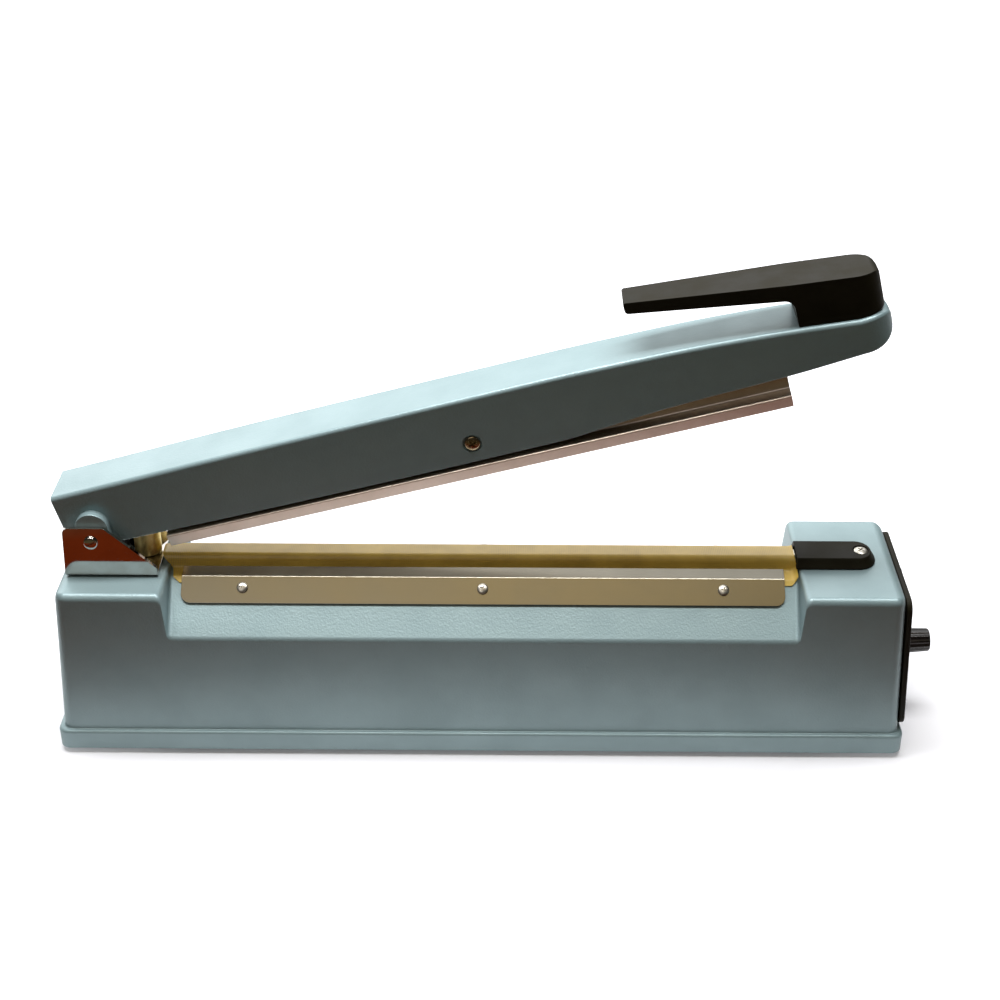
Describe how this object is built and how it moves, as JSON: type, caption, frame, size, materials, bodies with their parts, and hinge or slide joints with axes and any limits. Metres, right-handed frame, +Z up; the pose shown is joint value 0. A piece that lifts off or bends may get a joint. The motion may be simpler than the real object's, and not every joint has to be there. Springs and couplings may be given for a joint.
{
  "type": "impulse bag sealer",
  "caption": "Hand-operated impulse bag sealer: cast housing with a heated sealing bar, a spring-lifted pressing arm with handle, and a timer knob.",
  "frame": {"origin": "on the floor under the middle of the whole sealer's bounding box, with the feet standing on Z = 0", "axes": "+X from the hinge to the timer knob, +Y away from the user, +Z up"},
  "size_m": [0.4462, 0.0886, 0.2513],
  "materials": {
    "hammer_enamel": "glossy blue-grey enamel with a fine orange-peel texture",
    "black_plastic": "satin moulded black plastic",
    "grey_plastic": "plain moulded plastic",
    "red_lens": "clear red lens",
    "rubber": "moulded rubber",
    "chrome": "bright chrome plate on sheet steel",
    "stainless": "stainless sheet brushed along its length",
    "zinc_steel": "zinc-plated steel",
    "aluminium": "bare drawn aluminium",
    "brass": "turned brass",
    "copper": "enamelled copper wire",
    "laminated_steel": "varnished steel laminations",
    "ptfe_cloth": "tan PTFE-coated glass cloth",
    "glass_tape": "woven glass tape",
    "silicone": "silicone rubber",
    "circuit_green": "coated glass-fibre board"
  },
  "bodies": {
    "base": {"base_housing": "hammer_enamel", "bottom_plate": "zinc_steel", "bracket_screw_front": "zinc_steel", "bracket_screw_rear": "zinc_steel", "circuit_board": "circuit_green", "clamp_screw_front_left": "zinc_steel", "clamp_screw_front_middle": "zinc_steel", "clamp_screw_front_right": "zinc_steel", "clamp_screw_rear_left": "zinc_steel", "clamp_screw_rear_middle": "zinc_steel", "clamp_screw_rear_right": "zinc_steel", "clamp_strip_front": "stainless", "clamp_strip_rear": "stainless", "cord_gland": "black_plastic", "element_terminal_left": "brass", "element_terminal_right": "brass", "end_panel": "black_plastic", "foot_screw_front_left": "zinc_steel", "foot_screw_front_right": "zinc_steel", "foot_screw_rear_left": "zinc_steel", "foot_screw_rear_right": "zinc_steel", "heat_bar": "aluminium", "heating_element": "stainless", "hinge_bracket": "chrome", "hinge_pin": "zinc_steel", "hinge_pin_nut": "zinc_steel", "insulation_strip": "glass_tape", "lift_spring": "zinc_steel", "micro_switch": "grey_plastic", "panel_screw_lower": "zinc_steel", "panel_screw_upper": "zinc_steel", "pilot_lamp": "red_lens", "potentiometer_nut": "brass", "ptfe_cloth": "ptfe_cloth", "relay": "grey_plastic", "rubber_foot_front_left": "rubber", "rubber_foot_front_right": "rubber", "rubber_foot_rear_left": "rubber", "rubber_foot_rear_right": "rubber", "spring_cup": "brass", "terminal_cover": "black_plastic", "terminal_cover_screw": "zinc_steel", "timer_potentiometer": "zinc_steel", "timing_capacitor": "grey_plastic", "transformer_core": "laminated_steel", "transformer_screw_left": "zinc_steel", "transformer_screw_right": "zinc_steel", "transformer_strap": "zinc_steel", "transformer_winding": "copper"},
    "arm": {"arm_casting": "hammer_enamel", "handle": "black_plastic", "handle_screw_front": "zinc_steel", "handle_screw_rear": "zinc_steel", "jaw_pivot_screw": "zinc_steel", "jaw_pivot_nut": "zinc_steel"},
    "jaw": {"jaw_bar": "aluminium", "silicone_strip": "silicone"},
    "timer_dial": {"timer_knob": "black_plastic", "timer_shaft": "aluminium"},
    "switch_button": {"switch_plunger": "grey_plastic"}
  },
  "joints": [
    {"name": "arm_hinge", "type": "hinge", "parent": "base", "child": "arm", "pos_m": [-0.19884, 0, 0.112], "axis": [0, 1, 0], "range_deg": [0, 15.05], "stiffness_Nm_per_rad": 6, "springref_deg": -22.92, "deforming": ["lift_spring"]},
    {"name": "jaw_rock", "type": "hinge", "parent": "arm", "child": "jaw", "pos_m": [-0.01206, 0, 0.16482], "axis": [0, 1, 0], "range_deg": [-0.2, 0]},
    {"name": "timer_turn", "type": "hinge", "parent": "base", "child": "timer_dial", "pos_m": [0.20178, 0, 0.04097], "axis": [-0.9988, 0, -0.0499], "range_deg": [0, 280]},
    {"name": "switch_press", "type": "slide", "parent": "base", "child": "switch_button", "axis": [0, 0, -1], "range_m": [0, 0.0015]}
  ],
  "couplings": [
    {"joint": "jaw_rock", "follows": "arm_hinge", "ratio": -0.013289},
    {"joint": "switch_press", "follows": "arm_hinge", "m_per_rad": 0.0057106}
  ]
}
